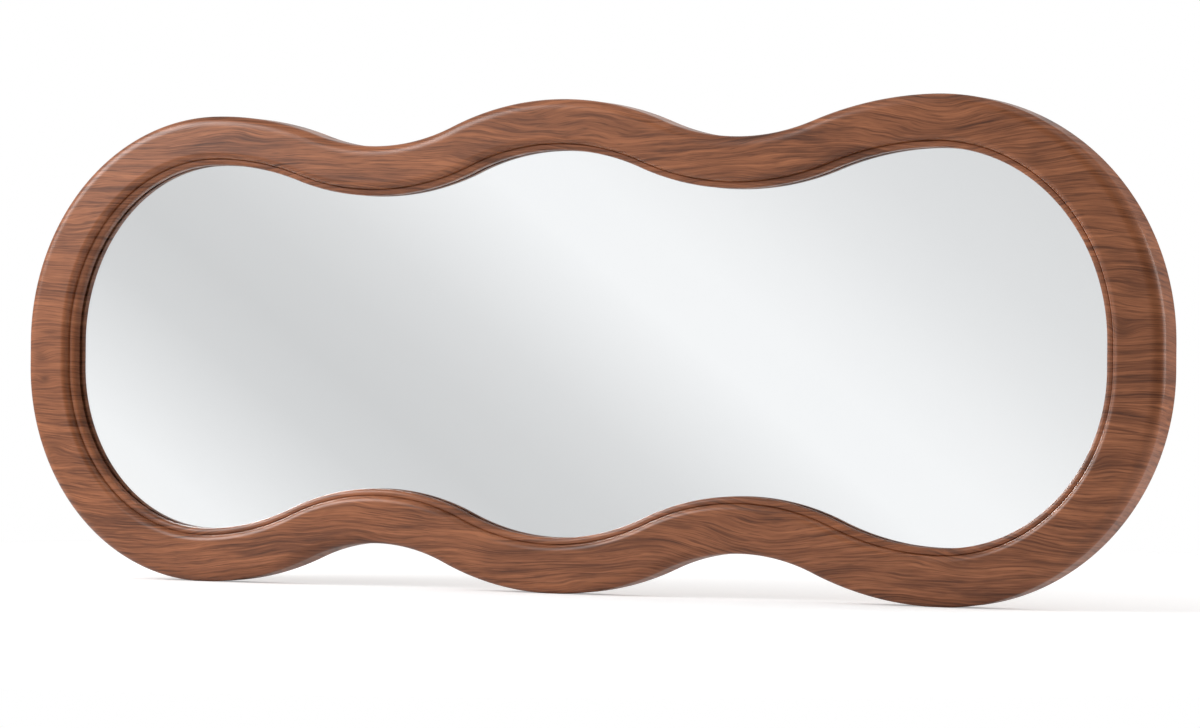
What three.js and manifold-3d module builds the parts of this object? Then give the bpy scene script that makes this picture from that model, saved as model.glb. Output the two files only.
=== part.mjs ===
// Wall mirror with a wavy frame of level walnut boards, silvered glass, back board and strap hangers.
// Millimetres. X runs along the length, Y from the front to the wall, Z up.
// Origin: on the floor, under the centre of the overall box.
import * as THREE from 'three';
import { mergeVertices } from 'three/addons/utils/BufferGeometryUtils.js';
import Module from 'manifold-3d';

// ---------------------------------------------------------------- driving dimensions
// Outline of the frame, seen from the front
const LENGTH = 1600;
const HEIGHT = 610;
const END_TOP_DROP = 8;
const TOP_CORNER_HEIGHT = 5.5;
const BOTTOM_CORNER_HEIGHT = -27;
const TOP_SHOULDER_RADIUS = 460;
const TOP_HOLLOW_RADIUS = 280;
const TOP_MIDDLE_RADIUS = 382;
const BOTTOM_SHOULDER_RADIUS = 410;
const BOTTOM_HOLLOW_RADIUS = 243;
const BOTTOM_MIDDLE_RADIUS = 380;
const FOOT_FLAT_DEPTH = 0.3;

// Width of the frame where it faces up, down and to an end
const TOP_WIDTH = 63;
const BOTTOM_WIDTH = 69;
const END_WIDTH = 72.5;

// Section of the frame, from its outer wall to the edge of the visible glass, drawn at one width
const FRAME_WIDTH = 66;
const FRAME_DEPTH = 45;
const OUTER_ROUND = 10;
const INNER_ROUND = 8;
const GROOVE_WIDTH = 1;
const GROOVE_DEPTH = 1.2;
const NOSE_FLAT = 2.5;
const NOSE_ROUND = 5;
const GLASS_SEAT_DEPTH = 19.5;
const GLASS_REBATE = 10;
const BOARD_REBATE = 16;
const BACK_CHAMFER = 2;

// Boards of the blank, and the loose tenons between them
const UPPER_JOINT_HEIGHT = 130;
const LOWER_JOINT_HEIGHT = -65;
const GLUE_GAP = 0.3;
const TENON_WIDTH = 20;
const TENON_THICKNESS = 6;
const TENON_LENGTH = 40;
const TENON_CENTRE_DEPTH = 15;
const MORTISE_CLEARANCE = 0.3;

// Glass, tape and back board
const CONTACT_GAP = 0.3;
const EDGE_CLEARANCE = 1;
const GLASS_THICKNESS = 4;
const TAPE_THICKNESS = 1;
const TAPE_WIDTH = 20;
const TAPE_LENGTH = 320;
const TAPE_PITCH = 400;
const BOARD_THICKNESS = 6;

// Countersunk screws of the back board
const BOARD_SCREW_RADIUS = 1.75;
const BOARD_SCREW_HEAD_RADIUS = 3.5;
const BOARD_SCREW_HEAD_HEIGHT = 2.2;
const BOARD_SCREW_LENGTH = 16;
const BOARD_SCREW_SINK = 0.2;
const SCREW_CLEARANCE = 0.3;
const SCREW_TIP = 2.5;

// Strap hangers
const WIRE_RADIUS = 1.5;
const RING_HALF_WIDTH = 12;
const RING_LENGTH = 22;
const RING_CORNER = 3;
const EYE_CLEARANCE = 0.35;
const EYE_WALL = 1;
const STRAP_WIDTH = 14;
const STRAP_LENGTH = 50;
const STRAP_THICKNESS = 1.6;
const STRAP_SCREW_INSETS = [7, 19];
const STRAP_SCREW_RADIUS = 1.6;
const STRAP_SCREW_HEAD_RADIUS = 3.2;
const STRAP_SCREW_HEAD_TOP_RADIUS = 2.4;
const STRAP_SCREW_HEAD_HEIGHT = 2;
const STRAP_SCREW_LENGTH = 14;
const LEVEL_HANGER_HEIGHT = 100;

// Wall bumpers
const BUMPER_RADIUS = 6;
const BUMPER_THICKNESS = 6.5;
const BUMPER_CHAMFER = 1.5;
const BUMPER_ANGLE = 45;

// Fineness of the facets
const ARC_STEP = 6.3;
const ROUND_STEPS = 3;
const NOSE_STEPS = 2;
const SCREW_SIDES = 8;
const EYE_SIDES = 12;
const WIRE_SIDES = 8;
const CORNER_STEPS = 3;
const BOW_STEPS = 10;
const BUMPER_SIDES = 12;
const TENON_STEPS = 4;
const SAME_PLACE = 1e-4;

// ---------------------------------------------------------------- worked out from these
const RAD = Math.PI / 180;
const HALF_LENGTH = LENGTH / 2;
const HALF_HEIGHT = HEIGHT / 2;
const END_TOP = HALF_HEIGHT - END_TOP_DROP;
const FOOT = -HALF_HEIGHT - FOOT_FLAT_DEPTH;
const SIGHT_ROUND_START = FRAME_WIDTH - NOSE_ROUND - NOSE_FLAT - GROOVE_WIDTH - INNER_ROUND;
const GLASS_WALL = FRAME_WIDTH - GLASS_REBATE;
const BOARD_WALL = GLASS_WALL - BOARD_REBATE;
const GLASS_FRONT = GLASS_SEAT_DEPTH + CONTACT_GAP;
const GLASS_BACK = GLASS_FRONT + GLASS_THICKNESS;
const TAPE_FRONT = GLASS_BACK + CONTACT_GAP;
const BOARD_SEAT_DEPTH = TAPE_FRONT + TAPE_THICKNESS;
const BOARD_FRONT = BOARD_SEAT_DEPTH + CONTACT_GAP;
const BOARD_BACK = BOARD_FRONT + BOARD_THICKNESS;
const RIM_MIDDLE = BOARD_WALL / 2;
const EYE_INNER = WIRE_RADIUS + EYE_CLEARANCE;
const EYE_OUTER = EYE_INNER + EYE_WALL;
const STRAP_BACK = FRAME_DEPTH + CONTACT_GAP + STRAP_THICKNESS;
const RING_AXIS_DEPTH = STRAP_BACK + CONTACT_GAP + WIRE_RADIUS;
const OVERALL_DEPTH = Math.max(
  FRAME_DEPTH + CONTACT_GAP + BUMPER_THICKNESS,
  RING_AXIS_DEPTH + EYE_OUTER,
  STRAP_BACK + CONTACT_GAP + STRAP_SCREW_HEAD_HEIGHT,
);

const wasm = await Module();
wasm.setup();

// ---------------------------------------------------------------- solids and booleans
function toManifold(geometry) {
  const bare = geometry.clone();
  for (const name of Object.keys(bare.attributes)) {
    if (name !== 'position') {
      bare.deleteAttribute(name);
    }
  }
  const merged = mergeVertices(bare, SAME_PLACE);
  return new wasm.Manifold(new wasm.Mesh({
    numProp: 3,
    vertProperties: new Float32Array(merged.attributes.position.array),
    triVerts: new Uint32Array(merged.index.array),
  }));
}

function toGeometry(manifold) {
  const mesh = manifold.getMesh();
  const geometry = new THREE.BufferGeometry();
  geometry.setAttribute('position', new THREE.BufferAttribute(mesh.vertProperties, 3));
  geometry.setIndex(new THREE.BufferAttribute(mesh.triVerts, 1));
  geometry.computeVertexNormals();
  return geometry;
}

// A box given by its lowest and highest corners.
function box(low, high) {
  const size = high.clone().sub(low);
  const centre = high.clone().add(low).multiplyScalar(0.5);
  return new THREE.BoxGeometry(size.x, size.y, size.z).translate(centre.x, centre.y, centre.z);
}

// A plate with the given outline in X and Z, between two depths along Y.
function plate(points, front, back) {
  const depth = back - front;
  const geometry = new THREE.ExtrudeGeometry(new THREE.Shape(points), { depth, bevelEnabled: false });
  return geometry.rotateX(Math.PI / 2).translate(0, back, 0);
}

// A turned piece about a line along Y. The profile holds [radius, depth] pairs.
function turned(profile, sides, x, z) {
  const points = profile.map(([radius, depth]) => new THREE.Vector2(radius, depth));
  return new THREE.LatheGeometry(points, sides).translate(x, 0, z);
}

// A closed loop of equal rings of points, as one closed surface.
function closedSweep(rings) {
  const count = rings.length;
  const around = rings[0].length;
  const index = [];
  for (let i = 0; i < count; i += 1) {
    const next = (i + 1) % count;
    for (let j = 0; j < around; j += 1) {
      const side = (j + 1) % around;
      const a = i * around + j;
      const b = next * around + j;
      const c = next * around + side;
      const d = i * around + side;
      index.push(a, c, b, a, d, c);
    }
  }
  const geometry = new THREE.BufferGeometry();
  const flat = rings.flat().flatMap((p) => [p.x, p.y, p.z]);
  geometry.setAttribute('position', new THREE.Float32BufferAttribute(flat, 3));
  geometry.setIndex(index);
  return geometry;
}

// ---------------------------------------------------------------- outline
// Centre of the hollow that touches two lobes from outside.
function hollowCentre(lobe, other, radius, side) {
  const near = lobe.radius + radius;
  const far = other.radius + radius;
  const dx = other.x - lobe.x;
  const dz = other.z - lobe.z;
  const gap = Math.hypot(dx, dz);
  const along = (near * near - far * far + gap * gap) / (2 * gap);
  const off = Math.sqrt(near * near - along * along) * side;
  return {
    x: lobe.x + (dx * along - dz * off) / gap,
    z: lobe.z + (dz * along + dx * off) / gap,
    radius,
  };
}

// A circle given by its highest point, or by its lowest one.
function circleUnder(x, top, radius) {
  return { x, z: top - radius, radius };
}

function circleOver(x, bottom, radius) {
  return { x, z: bottom + radius, radius };
}

// Each end has a corner circle that touches the end wall, and a wider shoulder circle towards the middle.
// The two share their highest point, or their lowest one.
const topCornerRadius = END_TOP - TOP_CORNER_HEIGHT;
const topCorner = circleUnder(HALF_LENGTH - topCornerRadius, END_TOP, topCornerRadius);
const topShoulder = circleUnder(topCorner.x, END_TOP, TOP_SHOULDER_RADIUS);
const topMiddle = circleUnder(0, HALF_HEIGHT, TOP_MIDDLE_RADIUS);
const topHollow = hollowCentre(topMiddle, topShoulder, TOP_HOLLOW_RADIUS, 1);
const bottomCornerRadius = BOTTOM_CORNER_HEIGHT - FOOT;
const bottomCorner = circleOver(HALF_LENGTH - bottomCornerRadius, FOOT, bottomCornerRadius);
const bottomShoulder = circleOver(bottomCorner.x, FOOT, BOTTOM_SHOULDER_RADIUS);
const bottomMiddle = circleOver(0, FOOT, BOTTOM_MIDDLE_RADIUS);
const bottomHollow = hollowCentre(bottomMiddle, bottomShoulder, BOTTOM_HOLLOW_RADIUS, -1);

function towards(from, to) {
  return Math.atan2(to.z - from.z, to.x - from.x);
}

// Half the angle of the flat on which a bottom lobe stands.
function footAngle(radius) {
  return Math.acos(1 - FOOT_FLAT_DEPTH / radius);
}

// Right half of the outline, clockwise from the top, as arcs with the angles that they must pass through.
function rightHalf() {
  const up = Math.PI / 2;
  const down = -Math.PI / 2;
  return [
    { ...topMiddle, out: 1, angles: [up, towards(topMiddle, topHollow)] },
    {
      ...topHollow,
      out: -1,
      angles: [towards(topHollow, topMiddle), down, towards(topHollow, topShoulder)],
    },
    { ...topShoulder, out: 1, angles: [towards(topShoulder, topHollow), up] },
    { ...topCorner, out: 1, angles: [up, 0] },
    { ...bottomCorner, out: 1, angles: [0, down + footAngle(bottomCorner.radius)] },
    {
      ...bottomShoulder,
      out: 1,
      angles: [down - footAngle(bottomShoulder.radius), towards(bottomShoulder, bottomHollow)],
    },
    {
      ...bottomHollow,
      out: -1,
      angles: [towards(bottomHollow, bottomShoulder), up, towards(bottomHollow, bottomMiddle)],
    },
    {
      ...bottomMiddle,
      out: 1,
      angles: [towards(bottomMiddle, bottomHollow), down + footAngle(bottomMiddle.radius)],
    },
  ];
}

// Turns an arc's list of angles so that each goes on from the last one the short way.
function unwound(angles) {
  const result = [angles[0]];
  for (const angle of angles.slice(1)) {
    const last = result[result.length - 1];
    result.push(angle - 2 * Math.PI * Math.round((angle - last) / (2 * Math.PI)));
  }
  return result;
}

// Share of the drawn width that the frame has where its outer wall faces in a direction.
function widthShare(nx, nz) {
  const levelWidth = nz > 0 ? TOP_WIDTH : BOTTOM_WIDTH;
  return (END_WIDTH * nx * nx + levelWidth * nz * nz) / FRAME_WIDTH;
}

function stationAt(arc, angle) {
  const cos = Math.cos(angle);
  const sin = Math.sin(angle);
  const nx = cos * arc.out;
  const nz = sin * arc.out;
  const x = arc.x + arc.radius * cos;
  const z = arc.z + arc.radius * sin;
  return { x, z, nx, nz, share: widthShare(nx, nz) };
}

function arcStations(arc) {
  const angles = unwound(arc.angles);
  const stations = [];
  for (let i = 0; i + 1 < angles.length; i += 1) {
    const steps = Math.max(1, Math.ceil(Math.abs(angles[i + 1] - angles[i]) / (ARC_STEP * RAD)));
    for (let k = 0; k < steps; k += 1) {
      stations.push(stationAt(arc, angles[i] + ((angles[i + 1] - angles[i]) * k) / steps));
    }
  }
  stations.push(stationAt(arc, angles[angles.length - 1]));
  return stations;
}

// Stations all round the outline, each with its outward normal. Arcs share their end stations.
function outlineStations() {
  const right = [];
  for (const arc of rightHalf()) {
    for (const station of arcStations(arc)) {
      const last = right[right.length - 1];
      if (!last || Math.hypot(station.x - last.x, station.z - last.z) > SAME_PLACE) {
        right.push(station);
      }
    }
  }
  const left = right.filter((s) => s.x > SAME_PLACE).reverse();
  return [...right, ...left.map((s) => ({ ...s, x: -s.x, nx: -s.nx }))];
}

const stations = outlineStations();

function insetPoint(station, inset) {
  const reach = inset * station.share;
  return { x: station.x - station.nx * reach, z: station.z - station.nz * reach };
}

function insetOutline(inset) {
  return stations.map((s) => {
    const p = insetPoint(s, inset);
    return new THREE.Vector2(p.x, p.z);
  });
}

// Distance from the middle to the right end's outline, inset, at a height above the centre.
function endReach(z, inset) {
  const points = insetOutline(inset);
  let reach = 0;
  points.forEach((p, i) => {
    const q = points[(i + 1) % points.length];
    if (p.y !== q.y && (p.y - z) * (q.y - z) <= 0) {
      reach = Math.max(reach, p.x + ((q.x - p.x) * (z - p.y)) / (q.y - p.y));
    }
  });
  return reach;
}

// ---------------------------------------------------------------- frame
// Points of a quarter round from one [inset, depth] to the next, about a centre.
function quarter(centreInset, centreDepth, radius, fromAngle, toAngle, steps) {
  const points = [];
  for (let k = 0; k <= steps; k += 1) {
    const angle = (fromAngle + ((toAngle - fromAngle) * k) / steps) * RAD;
    points.push([centreInset + radius * Math.cos(angle), centreDepth - radius * Math.sin(angle)]);
  }
  return points;
}

function frameSection() {
  const grooveStart = SIGHT_ROUND_START + INNER_ROUND;
  const noseStart = FRAME_WIDTH - NOSE_ROUND;
  return [
    ...quarter(OUTER_ROUND, OUTER_ROUND, OUTER_ROUND, 180, 90, ROUND_STEPS),
    ...quarter(SIGHT_ROUND_START, INNER_ROUND, INNER_ROUND, 90, 0, ROUND_STEPS),
    [grooveStart + GROOVE_WIDTH / 2, INNER_ROUND + GROOVE_DEPTH],
    [grooveStart + GROOVE_WIDTH, INNER_ROUND],
    ...quarter(noseStart, INNER_ROUND + NOSE_ROUND, NOSE_ROUND, 90, 0, NOSE_STEPS),
    [FRAME_WIDTH, GLASS_SEAT_DEPTH],
    [GLASS_WALL, GLASS_SEAT_DEPTH],
    [GLASS_WALL, BOARD_SEAT_DEPTH],
    [BOARD_WALL, BOARD_SEAT_DEPTH],
    [BOARD_WALL, FRAME_DEPTH],
    [BACK_CHAMFER, FRAME_DEPTH],
    [0, FRAME_DEPTH - BACK_CHAMFER],
  ];
}

function frameRing() {
  const section = frameSection();
  return closedSweep(stations.map((station) => section.map(([inset, depth]) => {
    const p = insetPoint(station, inset);
    return new THREE.Vector3(p.x, depth, p.z);
  })));
}

// Each board is the part of the ring between two heights, on one side or on both.
const BOARDS = [
  { name: 'frame_top_rail', from: UPPER_JOINT_HEIGHT, to: Infinity, side: 0 },
  { name: 'frame_left_stile', from: LOWER_JOINT_HEIGHT, to: UPPER_JOINT_HEIGHT, side: -1 },
  { name: 'frame_right_stile', from: LOWER_JOINT_HEIGHT, to: UPPER_JOINT_HEIGHT, side: 1 },
  { name: 'frame_bottom_rail', from: -Infinity, to: LOWER_JOINT_HEIGHT, side: 0 },
];

function boardBlock({ from, to, side }) {
  const beyond = 1;
  const low = new THREE.Vector3(
    side > 0 ? 0 : -HALF_LENGTH - beyond,
    -beyond,
    Math.max(from + GLUE_GAP / 2, -HALF_HEIGHT - beyond),
  );
  const high = new THREE.Vector3(
    side < 0 ? 0 : HALF_LENGTH + beyond,
    FRAME_DEPTH + beyond,
    Math.min(to - GLUE_GAP / 2, HALF_HEIGHT + beyond),
  );
  return box(low, high);
}

// ---------------------------------------------------------------- tenons
// A loose tenon stands upright in a glue joint of an end, midway between outer wall and glass rebate.
function tenonPlace(joint, side) {
  const ends = [joint - TENON_LENGTH / 2, joint + TENON_LENGTH / 2];
  const outer = Math.min(...ends.map((z) => endReach(z, 0)));
  const inner = Math.max(...ends.map((z) => endReach(z, GLASS_WALL)));
  return { x: (side * (outer + inner)) / 2, z: joint };
}

function tenonSolid({ x, z }, grow) {
  const half = TENON_THICKNESS / 2 + grow;
  const reach = TENON_WIDTH / 2 + grow - half;
  const shape = new THREE.Shape();
  shape.absarc(reach, 0, half, -Math.PI / 2, Math.PI / 2, false);
  shape.absarc(-reach, 0, half, Math.PI / 2, (3 * Math.PI) / 2, false);
  const length = TENON_LENGTH + 2 * grow;
  const geometry = new THREE.ExtrudeGeometry(shape, {
    depth: length,
    bevelEnabled: false,
    curveSegments: TENON_STEPS,
  });
  return geometry.translate(x, TENON_CENTRE_DEPTH, z - length / 2);
}

const TENONS = [
  { name: 'tenon_left_upper', place: tenonPlace(UPPER_JOINT_HEIGHT, -1) },
  { name: 'tenon_left_lower', place: tenonPlace(LOWER_JOINT_HEIGHT, -1) },
  { name: 'tenon_right_upper', place: tenonPlace(UPPER_JOINT_HEIGHT, 1) },
  { name: 'tenon_right_lower', place: tenonPlace(LOWER_JOINT_HEIGHT, 1) },
];

// ---------------------------------------------------------------- screws
// Profile of a countersunk screw whose head top lies at a depth. It points to the front.
function boardScrewProfile(grow) {
  const top = BOARD_BACK - BOARD_SCREW_SINK;
  const tip = top - BOARD_SCREW_LENGTH - grow;
  const neck = top - BOARD_SCREW_HEAD_HEIGHT - grow;
  const head = [[BOARD_SCREW_HEAD_RADIUS + grow, top]];
  if (grow > 0) {
    head.push([BOARD_SCREW_HEAD_RADIUS + grow, BOARD_BACK + BOARD_THICKNESS]);
    head.push([0, BOARD_BACK + BOARD_THICKNESS]);
  } else {
    head.push([0, top]);
  }
  return [
    [0, tip],
    [BOARD_SCREW_RADIUS + grow, tip + SCREW_TIP],
    [BOARD_SCREW_RADIUS + grow, neck],
    ...head,
  ];
}

// Profile of a pan head screw whose head sits on a hanger's strap.
function strapScrewProfile(grow) {
  const seat = STRAP_BACK + CONTACT_GAP;
  const tip = seat - STRAP_SCREW_LENGTH - grow;
  const shank = [[0, tip], [STRAP_SCREW_RADIUS + grow, tip + SCREW_TIP]];
  if (grow > 0) {
    return [...shank, [STRAP_SCREW_RADIUS + grow, seat + grow], [0, seat + grow]];
  }
  const top = seat + STRAP_SCREW_HEAD_HEIGHT;
  return [
    ...shank,
    [STRAP_SCREW_RADIUS, seat],
    [STRAP_SCREW_HEAD_RADIUS, seat],
    [STRAP_SCREW_HEAD_RADIUS, seat + STRAP_SCREW_HEAD_HEIGHT / 2],
    [STRAP_SCREW_HEAD_TOP_RADIUS, top],
    [0, top],
  ];
}

// Board screws stand on the middle of the board's shoulder: one at the given share of each arc.
const SCREW_SHARES = [0, 0.5, 0.6, 0.62, 0.38, 0.4, 0.5, 1];

function boardScrewPlaces() {
  const inset = BOARD_WALL + BOARD_REBATE / 2;
  const places = [];
  rightHalf().forEach((arc, i) => {
    const angles = unwound(arc.angles);
    const span = angles[angles.length - 1] - angles[0];
    const onAxis = arc.x === 0;
    const angle = onAxis ? (Math.PI / 2) * Math.sign(arc.angles[0]) : angles[0] + span * SCREW_SHARES[i];
    const p = insetPoint(stationAt(arc, angle), inset);
    places.push(p);
    if (!onAxis) {
      places.push({ x: -p.x, z: p.z });
    }
  });
  return places;
}

const screwPlaces = boardScrewPlaces();

// ---------------------------------------------------------------- hangers
// A hanger's own frame: the eye is over the origin, the strap runs along -Z, and Y points to the wall.
function arcPoints(x, z, radius, fromAngle, toAngle, steps) {
  return Array.from({ length: steps + 1 }, (_, k) => {
    const angle = (fromAngle + ((toAngle - fromAngle) * k) / steps) * RAD;
    return new THREE.Vector2(x + radius * Math.cos(angle), z + radius * Math.sin(angle));
  });
}

// The wire's path: a straight bar through the eye, two corners and a round bow.
function ringPoints() {
  const corner = RING_HALF_WIDTH - RING_CORNER;
  return [
    ...arcPoints(corner, -RING_CORNER, RING_CORNER, 90, 0, CORNER_STEPS),
    ...arcPoints(0, RING_HALF_WIDTH - RING_LENGTH, RING_HALF_WIDTH, 0, -180, BOW_STEPS),
    ...arcPoints(-corner, -RING_CORNER, RING_CORNER, 180, 90, CORNER_STEPS),
  ];
}

function ringSolid() {
  const points = ringPoints();
  const count = points.length;
  const rings = points.map((p, i) => {
    const before = points[(i + count - 1) % count];
    const after = points[(i + 1) % count];
    const along = after.clone().sub(before).normalize();
    const inward = new THREE.Vector2(along.y, -along.x);
    return Array.from({ length: WIRE_SIDES }, (_, k) => {
      const angle = ((k + 0.5) / WIRE_SIDES) * 2 * Math.PI;
      const across = WIRE_RADIUS * Math.cos(angle);
      const depth = RING_AXIS_DEPTH + WIRE_RADIUS * Math.sin(angle);
      return new THREE.Vector3(p.x + inward.x * across, depth, p.y + inward.y * across);
    });
  });
  return closedSweep(rings);
}

function eyeCylinder(radius, length) {
  const geometry = new THREE.CylinderGeometry(radius, radius, length, EYE_SIDES);
  return geometry.rotateZ(Math.PI / 2).translate(0, RING_AXIS_DEPTH, 0);
}

function strapScrewHeights() {
  return STRAP_SCREW_INSETS.map((inset) => inset - STRAP_LENGTH);
}

function strapSolid() {
  const half = STRAP_WIDTH / 2;
  const low = new THREE.Vector3(-half, FRAME_DEPTH + CONTACT_GAP, -STRAP_LENGTH + half);
  const high = new THREE.Vector3(half, STRAP_BACK, 0);
  const roundEnd = turned(
    [[0, low.y], [half, low.y], [half, high.y], [0, high.y]],
    EYE_SIDES,
    0,
    low.z,
  );
  const neck = box(
    new THREE.Vector3(-half, low.y, -EYE_OUTER),
    new THREE.Vector3(half, RING_AXIS_DEPTH, 0),
  );
  let solid = toManifold(box(low, high));
  solid = solid.add(toManifold(roundEnd)).add(toManifold(neck));
  solid = solid.add(toManifold(eyeCylinder(EYE_OUTER, STRAP_WIDTH)));
  solid = solid.subtract(toManifold(eyeCylinder(EYE_INNER, STRAP_WIDTH * 2)));
  for (const z of strapScrewHeights()) {
    solid = solid.subtract(toManifold(turned(strapScrewProfile(SCREW_CLEARANCE), SCREW_SIDES, 0, z)));
  }
  return toGeometry(solid);
}

// Middle of the rear rim, where the outer wall of a corner faces at an angle.
function rimPoint(corner, angle) {
  return insetPoint(stationAt({ ...corner, out: 1 }, angle * RAD), RIM_MIDDLE);
}

// Where each hanger sits: its eye's place, and its turn about Y from strap down.
function hangerPlaces() {
  const half = STRAP_LENGTH / 2;
  const eyeZ = LEVEL_HANGER_HEIGHT + half;
  const upperX = endReach(eyeZ, RIM_MIDDLE);
  const lowerX = endReach(LEVEL_HANGER_HEIGHT - half, RIM_MIDDLE);
  const levelX = (upperX + lowerX) / 2;
  const uprightX = -(topCorner.x + bottomCorner.x) / 2 - half;
  const topZ = rimPoint(topCorner, 90).z;
  const bottomZ = rimPoint(bottomCorner, -90).z;
  return [
    { name: 'level_left', x: -levelX, z: eyeZ, turn: 0 },
    { name: 'level_right', x: levelX, z: eyeZ, turn: 0 },
    { name: 'upright_top', x: uprightX, z: topZ, turn: -Math.PI / 2 },
    { name: 'upright_bottom', x: uprightX, z: bottomZ, turn: -Math.PI / 2 },
  ];
}

const hangers = hangerPlaces();

// ---------------------------------------------------------------- bumpers
function bumperSolid() {
  const front = FRAME_DEPTH + CONTACT_GAP;
  const back = front + BUMPER_THICKNESS;
  return turned([
    [0, front],
    [BUMPER_RADIUS, front],
    [BUMPER_RADIUS, back - BUMPER_CHAMFER],
    [BUMPER_RADIUS - BUMPER_CHAMFER, back],
    [0, back],
  ], BUMPER_SIDES, 0, 0);
}

function bumperPlaces() {
  const top = rimPoint(topCorner, BUMPER_ANGLE);
  const bottom = rimPoint(bottomCorner, -BUMPER_ANGLE);
  return [
    { name: 'bumper_top_right', x: top.x, z: top.z },
    { name: 'bumper_top_left', x: -top.x, z: top.z },
    { name: 'bumper_bottom_right', x: bottom.x, z: bottom.z },
    { name: 'bumper_bottom_left', x: -bottom.x, z: bottom.z },
  ];
}

// ---------------------------------------------------------------- materials
function finish(color, roughness, metalness) {
  return new THREE.MeshStandardMaterial({ color, roughness, metalness });
}

const walnut = finish(0x96644c, 0.5, 0);
const beech = finish(0xcaa777, 0.7, 0);
const silver = finish(0xf2f4f4, 0.02, 1);
const fibreboard = finish(0x7d5a3c, 0.85, 0);
const foam = finish(0xe6e6e2, 0.95, 0);
const zinc = finish(0xb9bcbd, 0.35, 0.9);
const rubber = finish(0x24231f, 0.85, 0);

// ---------------------------------------------------------------- assembly
const mirror = new THREE.Group();
mirror.position.set(0, -OVERALL_DEPTH / 2, HALF_HEIGHT);

function addTo(group, name, geometry, material) {
  const mesh = new THREE.Mesh(geometry, material);
  mesh.name = name;
  group.add(mesh);
  return mesh;
}

// Everything that is cut out of the frame's ring: mortises and screw holes.
function frameCuts() {
  const cuts = TENONS.map(({ place }) => tenonSolid(place, MORTISE_CLEARANCE));
  for (const p of screwPlaces) {
    cuts.push(turned(boardScrewProfile(SCREW_CLEARANCE), SCREW_SIDES, p.x, p.z));
  }
  for (const { x, z, turn } of hangers) {
    for (const along of strapScrewHeights()) {
      const hole = turned(strapScrewProfile(SCREW_CLEARANCE), SCREW_SIDES, 0, along);
      cuts.push(hole.rotateY(turn).translate(x, 0, z));
    }
  }
  return cuts;
}

function addFrame() {
  let ring = toManifold(frameRing());
  for (const cut of frameCuts()) {
    ring = ring.subtract(toManifold(cut));
  }
  for (const board of BOARDS) {
    addTo(mirror, board.name, toGeometry(ring.intersect(toManifold(boardBlock(board)))), walnut);
  }
  for (const { name, place } of TENONS) {
    addTo(mirror, name, tenonSolid(place, 0), beech);
  }
}

function addGlassAndBack() {
  const glass = plate(insetOutline(GLASS_WALL + EDGE_CLEARANCE), GLASS_FRONT, GLASS_BACK);
  addTo(mirror, 'mirror_glass', glass, silver);
  ['tape_left', 'tape_middle', 'tape_right'].forEach((name, i) => {
    const tape = new THREE.BoxGeometry(TAPE_WIDTH, TAPE_THICKNESS, TAPE_LENGTH);
    const mesh = addTo(mirror, name, tape, foam);
    mesh.position.set((i - 1) * TAPE_PITCH, TAPE_FRONT + TAPE_THICKNESS / 2, 0);
  });
  let board = toManifold(plate(insetOutline(BOARD_WALL + EDGE_CLEARANCE), BOARD_FRONT, BOARD_BACK));
  screwPlaces.forEach((p, i) => {
    board = board.subtract(toManifold(turned(boardScrewProfile(SCREW_CLEARANCE), SCREW_SIDES, p.x, p.z)));
    const name = `board_screw_${String(i + 1).padStart(2, '0')}`;
    addTo(mirror, name, turned(boardScrewProfile(0), SCREW_SIDES, p.x, p.z), zinc);
  });
  addTo(mirror, 'back_board', toGeometry(board), fibreboard);
}

function addHangers() {
  for (const { name, x, z, turn } of hangers) {
    const hanger = new THREE.Group();
    hanger.position.set(x, 0, z);
    hanger.rotation.y = turn;
    addTo(hanger, `hanger_strap_${name}`, strapSolid(), zinc);
    addTo(hanger, `hanger_ring_${name}`, ringSolid(), zinc);
    strapScrewHeights().forEach((along, i) => {
      const screw = turned(strapScrewProfile(0), SCREW_SIDES, 0, along);
      addTo(hanger, `hanger_screw_${name}_${i + 1}`, screw, zinc);
    });
    mirror.add(hanger);
  }
}

function addBumpers() {
  for (const { name, x, z } of bumperPlaces()) {
    addTo(mirror, name, bumperSolid(), rubber).position.set(x, 0, z);
  }
}

addFrame();
addGlassAndBack();
addHangers();
addBumpers();

export default mirror;
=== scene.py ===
"""Looks of a wall mirror with a wavy walnut frame: metres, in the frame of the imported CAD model.

X runs along the length, Y from the front to the wall, Z up, and the origin is on the floor.
The outline, the section and the fittings are drawn in millimetres about the frame's middle, and
turned into metres by place and to_model.
"""
import math

import bmesh
import bpy
from mathutils import Matrix, Vector


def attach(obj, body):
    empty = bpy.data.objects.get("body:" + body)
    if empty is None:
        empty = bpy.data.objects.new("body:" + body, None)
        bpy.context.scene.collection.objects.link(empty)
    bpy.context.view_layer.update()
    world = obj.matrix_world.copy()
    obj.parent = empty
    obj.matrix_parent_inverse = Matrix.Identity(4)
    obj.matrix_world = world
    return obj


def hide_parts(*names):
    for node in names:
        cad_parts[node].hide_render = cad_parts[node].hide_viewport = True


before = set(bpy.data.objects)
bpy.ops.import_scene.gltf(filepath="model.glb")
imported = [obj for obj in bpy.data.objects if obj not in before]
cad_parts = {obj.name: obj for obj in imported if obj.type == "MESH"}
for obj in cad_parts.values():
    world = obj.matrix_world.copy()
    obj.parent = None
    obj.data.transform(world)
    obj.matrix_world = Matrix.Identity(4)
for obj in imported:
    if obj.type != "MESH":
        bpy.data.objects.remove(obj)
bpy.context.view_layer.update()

# ---------------------------------------------------------------- sizes, as the CAD model has them
LENGTH = 1600
HEIGHT = 610
END_TOP_DROP = 8
TOP_CORNER_HEIGHT = 5.5
BOTTOM_CORNER_HEIGHT = -27
TOP_SHOULDER_RADIUS = 460
TOP_HOLLOW_RADIUS = 280
TOP_MIDDLE_RADIUS = 382
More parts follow.
